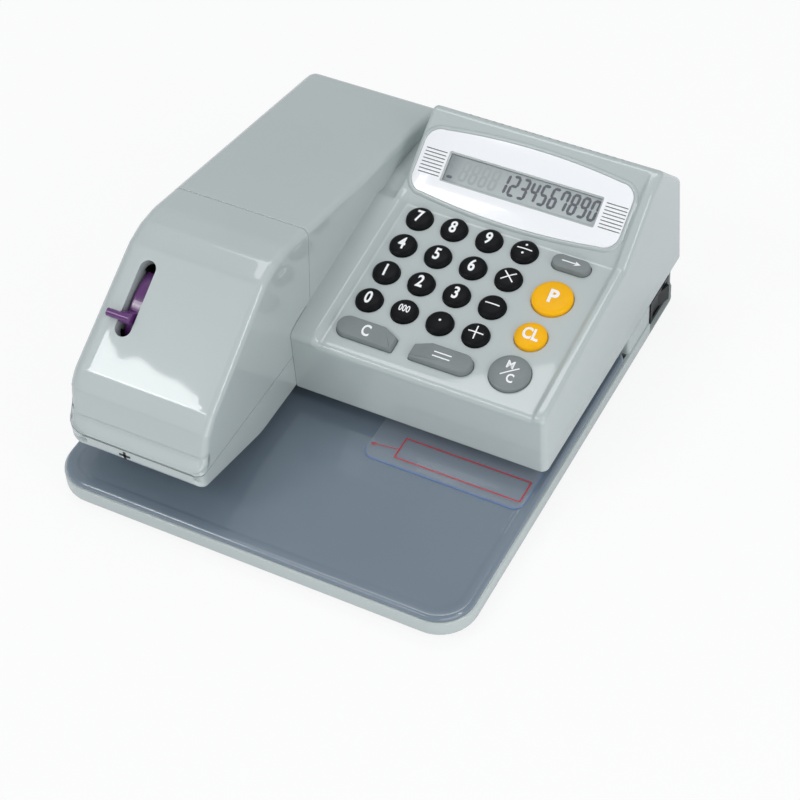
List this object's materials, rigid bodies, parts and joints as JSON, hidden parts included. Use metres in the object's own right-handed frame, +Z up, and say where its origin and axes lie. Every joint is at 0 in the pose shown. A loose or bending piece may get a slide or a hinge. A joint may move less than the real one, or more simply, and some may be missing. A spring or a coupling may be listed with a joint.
{
  "type": "check writer",
  "caption": "Desk check writer: keyboard with a tilted display beside a tall print head with a lever, over a flat paper tray with a slot for the check.",
  "frame": {"origin": "middle of the footprint, on the surface the machine stands on", "axes": "+X to the operator's right, +Y to the rear, +Z up"},
  "size_m": [0.255, 0.3, 0.1226],
  "materials": {
    "case_plastic": "smooth, light grey green moulding",
    "deck_plastic": "polished blue grey moulding",
    "rubber": "soft, matt black",
    "steel": "plain steel",
    "bezel_plastic": "white, polished",
    "window": "clear, polished",
    "lcd": "grey display film in a dark frame",
    "board": "green circuit board",
    "pad_rubber": "grey silicone sheet",
    "iron": "laminated iron with a taped coil",
    "black_plastic": "fine texture, black",
    "type_metal": "machined",
    "gear_plastic": "natural nylon",
    "motor_metal": "plated can",
    "ink_felt": "inked felt",
    "lever_plastic": "purple, polished",
    "copper": "wound copper wire",
    "black_keys": "black, domed and polished",
    "grey_keys": "mid grey, fine texture",
    "orange_keys": "orange, polished"
  },
  "bodies": {
    "housing": {"base_tray": "case_plastic", "deck_plate": "deck_plastic", "rubber_feet": "rubber", "case_screws": "steel", "upper_case": "case_plastic", "head_cover": "case_plastic", "head_base": "case_plastic", "display_bezel": "bezel_plastic", "display_window": "window", "lcd_module": "lcd", "main_board": "board", "board_screws": "steel", "key_pad": "pad_rubber", "guide_plate": "window", "throat_roof": "steel", "transformer": "iron", "mains_inlet": "black_plastic", "power_switch": "black_plastic", "print_frame": "steel", "type_motor": "motor_metal", "lever_shaft": "steel", "feed_motor": "motor_metal", "anvil_coil": "copper"},
    "rocker": {"power_rocker": "black_plastic"},
    "type_wheel": {"type_wheel": "type_metal", "type_shaft": "steel", "type_gear": "gear_plastic"},
    "type_motor_gear": {"type_motor_gear": "gear_plastic"},
    "ink_roller": {"ink_roller": "ink_felt", "ink_shaft": "steel"},
    "paper_lever": {"paper_lever": "lever_plastic"},
    "pinch_arm": {"pinch_arm": "steel", "pinch_pivot": "steel"},
    "pinch_roller": {"pinch_roller": "rubber"},
    "feed_roller": {"feed_roller": "rubber", "feed_gear": "gear_plastic"},
    "feed_motor_gear": {"feed_motor_gear": "gear_plastic"},
    "anvil": {"anvil": "steel"},
    "key_7": {"key_7": "black_keys"},
    "key_8": {"key_8": "black_keys"},
    "key_9": {"key_9": "black_keys"},
    "key_divide": {"key_divide": "black_keys"},
    "key_4": {"key_4": "black_keys"},
    "key_5": {"key_5": "black_keys"},
    "key_6": {"key_6": "black_keys"},
    "key_times": {"key_times": "black_keys"},
    "key_1": {"key_1": "black_keys"},
    "key_2": {"key_2": "black_keys"},
    "key_3": {"key_3": "black_keys"},
    "key_minus": {"key_minus": "black_keys"},
    "key_0": {"key_0": "black_keys"},
    "key_000": {"key_000": "black_keys"},
    "key_point": {"key_point": "black_keys"},
    "key_plus": {"key_plus": "black_keys"},
    "key_arrow": {"key_arrow": "grey_keys"},
    "key_print": {"key_print": "orange_keys"},
    "key_clear": {"key_clear": "orange_keys"},
    "key_memory": {"key_memory": "grey_keys"},
    "key_c": {"key_c": "grey_keys"},
    "key_equals": {"key_equals": "grey_keys"}
  },
  "joints": [
    {"name": "key_7_press", "type": "slide", "parent": "housing", "child": "key_7", "axis": [0, 0.1392, -0.9903], "range_m": [0, 0.0024], "stiffness_N_per_m": 200, "springref_m": -0.001},
    {"name": "key_8_press", "type": "slide", "parent": "housing", "child": "key_8", "axis": [0, 0.1392, -0.9903], "range_m": [0, 0.0024], "stiffness_N_per_m": 200, "springref_m": -0.001},
    {"name": "key_9_press", "type": "slide", "parent": "housing", "child": "key_9", "axis": [0, 0.1392, -0.9903], "range_m": [0, 0.0024], "stiffness_N_per_m": 200, "springref_m": -0.001},
    {"name": "key_divide_press", "type": "slide", "parent": "housing", "child": "key_divide", "axis": [0, 0.1392, -0.9903], "range_m": [0, 0.0024], "stiffness_N_per_m": 200, "springref_m": -0.001},
    {"name": "key_4_press", "type": "slide", "parent": "housing", "child": "key_4", "axis": [0, 0.1392, -0.9903], "range_m": [0, 0.0024], "stiffness_N_per_m": 200, "springref_m": -0.001},
    {"name": "key_5_press", "type": "slide", "parent": "housing", "child": "key_5", "axis": [0, 0.1392, -0.9903], "range_m": [0, 0.0024], "stiffness_N_per_m": 200, "springref_m": -0.001},
    {"name": "key_6_press", "type": "slide", "parent": "housing", "child": "key_6", "axis": [0, 0.1392, -0.9903], "range_m": [0, 0.0024], "stiffness_N_per_m": 200, "springref_m": -0.001},
    {"name": "key_times_press", "type": "slide", "parent": "housing", "child": "key_times", "axis": [0, 0.1392, -0.9903], "range_m": [0, 0.0024], "stiffness_N_per_m": 200, "springref_m": -0.001},
    {"name": "key_1_press", "type": "slide", "parent": "housing", "child": "key_1", "axis": [0, 0.1392, -0.9903], "range_m": [0, 0.0024], "stiffness_N_per_m": 200, "springref_m": -0.001},
    {"name": "key_2_press", "type": "slide", "parent": "housing", "child": "key_2", "axis": [0, 0.1392, -0.9903], "range_m": [0, 0.0024], "stiffness_N_per_m": 200, "springref_m": -0.001},
    {"name": "key_3_press", "type": "slide", "parent": "housing", "child": "key_3", "axis": [0, 0.1392, -0.9903], "range_m": [0, 0.0024], "stiffness_N_per_m": 200, "springref_m": -0.001},
    {"name": "key_minus_press", "type": "slide", "parent": "housing", "child": "key_minus", "axis": [0, 0.1392, -0.9903], "range_m": [0, 0.0024], "stiffness_N_per_m": 200, "springref_m": -0.001},
    {"name": "key_0_press", "type": "slide", "parent": "housing", "child": "key_0", "axis": [0, 0.1392, -0.9903], "range_m": [0, 0.0024], "stiffness_N_per_m": 200, "springref_m": -0.001},
    {"name": "key_000_press", "type": "slide", "parent": "housing", "child": "key_000", "axis": [0, 0.1392, -0.9903], "range_m": [0, 0.0024], "stiffness_N_per_m": 200, "springref_m": -0.001},
    {"name": "key_point_press", "type": "slide", "parent": "housing", "child": "key_point", "axis": [0, 0.1392, -0.9903], "range_m": [0, 0.0024], "stiffness_N_per_m": 200, "springref_m": -0.001},
    {"name": "key_plus_press", "type": "slide", "parent": "housing", "child": "key_plus", "axis": [0, 0.1392, -0.9903], "range_m": [0, 0.0024], "stiffness_N_per_m": 200, "springref_m": -0.001},
    {"name": "key_arrow_press", "type": "slide", "parent": "housing", "child": "key_arrow", "axis": [0, 0.1392, -0.9903], "range_m": [0, 0.0024], "stiffness_N_per_m": 200, "springref_m": -0.001},
    {"name": "key_print_press", "type": "slide", "parent": "housing", "child": "key_print", "axis": [0, 0.1392, -0.9903], "range_m": [0, 0.0024], "stiffness_N_per_m": 200, "springref_m": -0.001},
    {"name": "key_clear_press", "type": "slide", "parent": "housing", "child": "key_clear", "axis": [0, 0.1392, -0.9903], "range_m": [0, 0.0024], "stiffness_N_per_m": 200, "springref_m": -0.001},
    {"name": "key_memory_press", "type": "slide", "parent": "housing", "child": "key_memory", "axis": [0, 0.1392, -0.9903], "range_m": [0, 0.0024], "stiffness_N_per_m": 200, "springref_m": -0.001},
    {"name": "key_c_press", "type": "slide", "parent": "housing", "child": "key_c", "axis": [0, 0.1392, -0.9903], "range_m": [0, 0.0024], "stiffness_N_per_m": 200, "springref_m": -0.001},
    {"name": "key_equals_press", "type": "slide", "parent": "housing", "child": "key_equals", "axis": [0, 0.1392, -0.9903], "range_m": [0, 0.0024], "stiffness_N_per_m": 200, "springref_m": -0.001},
    {"name": "power_rock", "type": "hinge", "parent": "housing", "child": "rocker", "pos_m": [0.1207, 0.12, 0.014], "axis": [0, 0, 1], "range_deg": [0, 20]},
    {"name": "type_wheel_spin", "type": "hinge", "parent": "housing", "child": "type_wheel", "pos_m": [-0.0783, -0.05, 0.036], "axis": [1, 0, 0], "continuous": true},
    {"name": "type_motor_spin", "type": "hinge", "parent": "housing", "child": "type_motor_gear", "pos_m": [-0.062, -0.06025, 0.04625], "axis": [1, 0, 0], "continuous": true},
    {"name": "ink_roller_spin", "type": "hinge", "parent": "housing", "child": "ink_roller", "pos_m": [-0.0783, -0.03309, 0.05615], "axis": [1, 0, 0], "continuous": true},
    {"name": "lever_turn", "type": "hinge", "parent": "housing", "child": "paper_lever", "pos_m": [-0.0995, -0.06171, 0.07261], "axis": [-1, 0, 0], "range_deg": [0, 34]},
    {"name": "pinch_lift", "type": "hinge", "parent": "housing", "child": "pinch_arm", "pos_m": [-0.0783, 0.02, 0.036], "axis": [-1, 0, 0], "range_deg": [0, 3.1]},
    {"name": "pinch_spin", "type": "hinge", "parent": "pinch_arm", "child": "pinch_roller", "pos_m": [-0.0783, -0.006, 0.0213], "axis": [0, 1, 0], "continuous": true},
    {"name": "feed_spin", "type": "hinge", "parent": "housing", "child": "feed_roller", "pos_m": [-0.0783, -0.006, 0.0112], "axis": [0, 1, 0], "continuous": true},
    {"name": "feed_motor_spin", "type": "hinge", "parent": "housing", "child": "feed_motor_gear", "pos_m": [-0.0783, 0.088, 0.0257], "axis": [0, 1, 0], "continuous": true},
    {"name": "anvil_strike", "type": "slide", "parent": "housing", "child": "anvil", "axis": [0, 0, 1], "range_m": [0, 0.0028], "stiffness_N_per_m": 150, "springref_m": -0.001}
  ],
  "couplings": [
    {"joint": "type_motor_spin", "follows": "type_wheel_spin", "ratio": -0.5},
    {"joint": "ink_roller_spin", "follows": "type_wheel_spin", "ratio": -1.8667},
    {"joint": "pinch_lift", "follows": "lever_turn", "ratio": 0.09},
    {"joint": "pinch_spin", "follows": "feed_spin", "ratio": -0.96},
    {"joint": "feed_motor_spin", "follows": "feed_spin", "ratio": -0.5}
  ]
}
